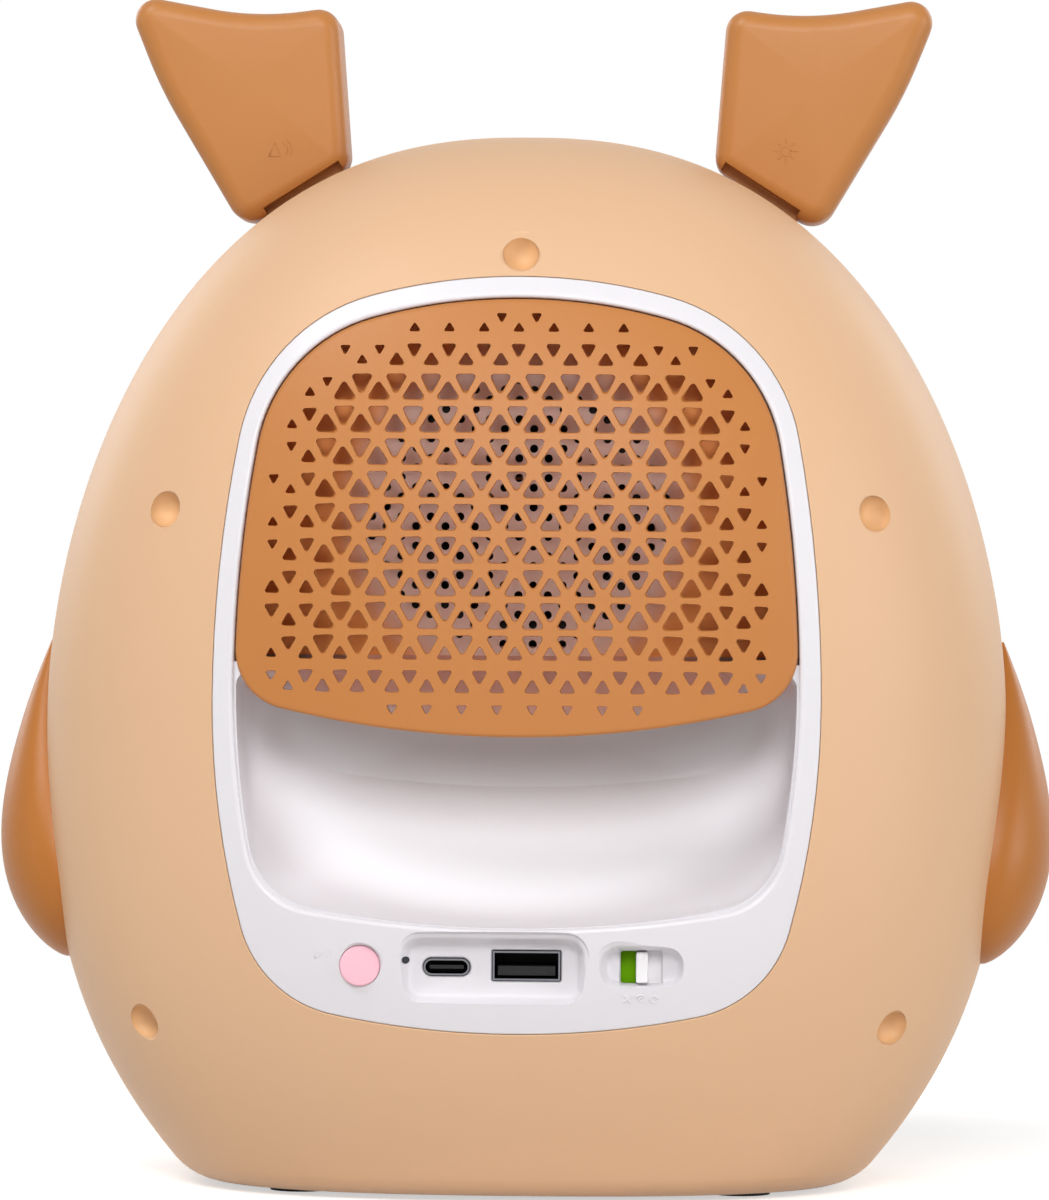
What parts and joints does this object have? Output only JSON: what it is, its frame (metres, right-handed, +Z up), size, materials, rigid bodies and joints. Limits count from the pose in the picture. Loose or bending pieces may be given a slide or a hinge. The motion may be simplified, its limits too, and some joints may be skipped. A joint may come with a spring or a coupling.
{
  "type": "children's bluetooth speaker",
  "caption": "Puppy-shaped portable speaker for children, seen from its back: egg body, rocking ears, paws, perforated cover over a hand recess, and a control panel with sockets.",
  "frame": {"origin": "middle of the footprint, on the surface that the rubber feet stand on, under the parting plane of the two shells", "axes": "+X to the right in the pictured back view, +Y away from the viewer towards the animal's face, +Z up"},
  "size_m": [0.2136, 0.1674, 0.2413],
  "materials": {
    "cream_shell": "fine satin moulded ABS",
    "warm_white": "satin moulded ABS",
    "caramel_cover": "fine matt moulded ABS",
    "ear_brown": "soft matt vinyl",
    "paw_brown": "fine matt moulded ABS",
    "baffle_white": "satin moulded ABS",
    "pink_button": "smooth moulded cap",
    "green_flag": "plain moulded",
    "switch_white": "plain moulded",
    "black_plastic": "plain moulded",
    "socket_steel": "drawn sheet",
    "screw_steel": "zinc plated",
    "motor_iron": "plated",
    "magnet": "ferrite",
    "cone_paper": "coated paper",
    "surround_rubber": "matt",
    "spider_cloth": "impregnated cloth",
    "coil_copper": "wound wire on a former",
    "circuit_board": "solder mask",
    "white_board": "white solder mask",
    "foot_rubber": "matt",
    "cell_wrap": "shrink wrap over a metal can",
    "panel_milk": "translucent milky moulded",
    "face_dark": "polished",
    "light_pipe": "clear",
    "light_chip": "phosphor"
  },
  "bodies": {
    "housing": {"rear_shell": "cream_shell", "front_shell": "cream_shell", "handle_tub": "warm_white", "grille_cover": "caramel_cover", "speaker_baffle": "baffle_white", "left_ear_pin": "screw_steel", "right_ear_pin": "screw_steel", "ear_boards": "circuit_board", "ear_switches": "black_plastic", "left_arm": "paw_brown", "right_arm": "paw_brown", "arm_screws": "screw_steel", "screw_plugs": "cream_shell", "case_screws": "screw_steel", "tub_screws": "screw_steel", "rubber_feet": "foot_rubber", "driver_frame": "black_plastic", "driver_gasket": "surround_rubber", "driver_surround": "surround_rubber", "driver_cone": "cone_paper", "driver_dust_cap": "cone_paper", "driver_spider": "spider_cloth", "driver_voice_coil": "coil_copper", "driver_top_plate": "motor_iron", "driver_magnet": "magnet", "driver_yoke": "motor_iron", "driver_screws": "screw_steel", "main_board": "circuit_board", "radio_module": "socket_steel", "board_chips": "black_plastic", "board_screws": "screw_steel", "usb_c_shell": "socket_steel", "usb_c_tongue": "black_plastic", "usb_a_shell": "socket_steel", "usb_a_tongue": "switch_white", "button_switch": "black_plastic", "charge_light": "light_chip", "light_pipe": "light_pipe", "switch_body": "socket_steel", "battery_holder": "black_plastic", "battery_cells": "cell_wrap", "battery_screws": "screw_steel", "face_panel": "panel_milk", "muzzle": "warm_white", "nose": "face_dark", "eyes": "face_dark", "light_board": "white_board", "night_lights": "light_chip", "light_board_screws": "screw_steel"},
    "play_button": {"play_button": "pink_button"},
    "mode_switch": {"switch_slider": "switch_white", "switch_flag": "green_flag", "switch_lever": "black_plastic"},
    "left_ear": {"left_ear": "ear_brown"},
    "right_ear": {"right_ear": "ear_brown"}
  },
  "joints": [
    {"name": "play_button_press", "type": "slide", "parent": "housing", "child": "play_button", "axis": [0, 1, 0], "range_m": [0, 0.001], "stiffness_N_per_m": 300, "springref_m": -0.001},
    {"name": "mode_switch_slide", "type": "slide", "parent": "housing", "child": "mode_switch", "axis": [1, 0, 0], "range_m": [-0.0025, 0.0025]},
    {"name": "left_ear_rock", "type": "hinge", "parent": "housing", "child": "left_ear", "pos_m": [-0.04376, 0.011, 0.19371], "axis": [0.8428, 0, 0.5382], "range_deg": [-4, 4], "stiffness_Nm_per_rad": 0.6},
    {"name": "right_ear_rock", "type": "hinge", "parent": "housing", "child": "right_ear", "pos_m": [0.04376, 0.011, 0.19371], "axis": [0.8428, 0, -0.5382], "range_deg": [-4, 4], "stiffness_Nm_per_rad": 0.6}
  ]
}
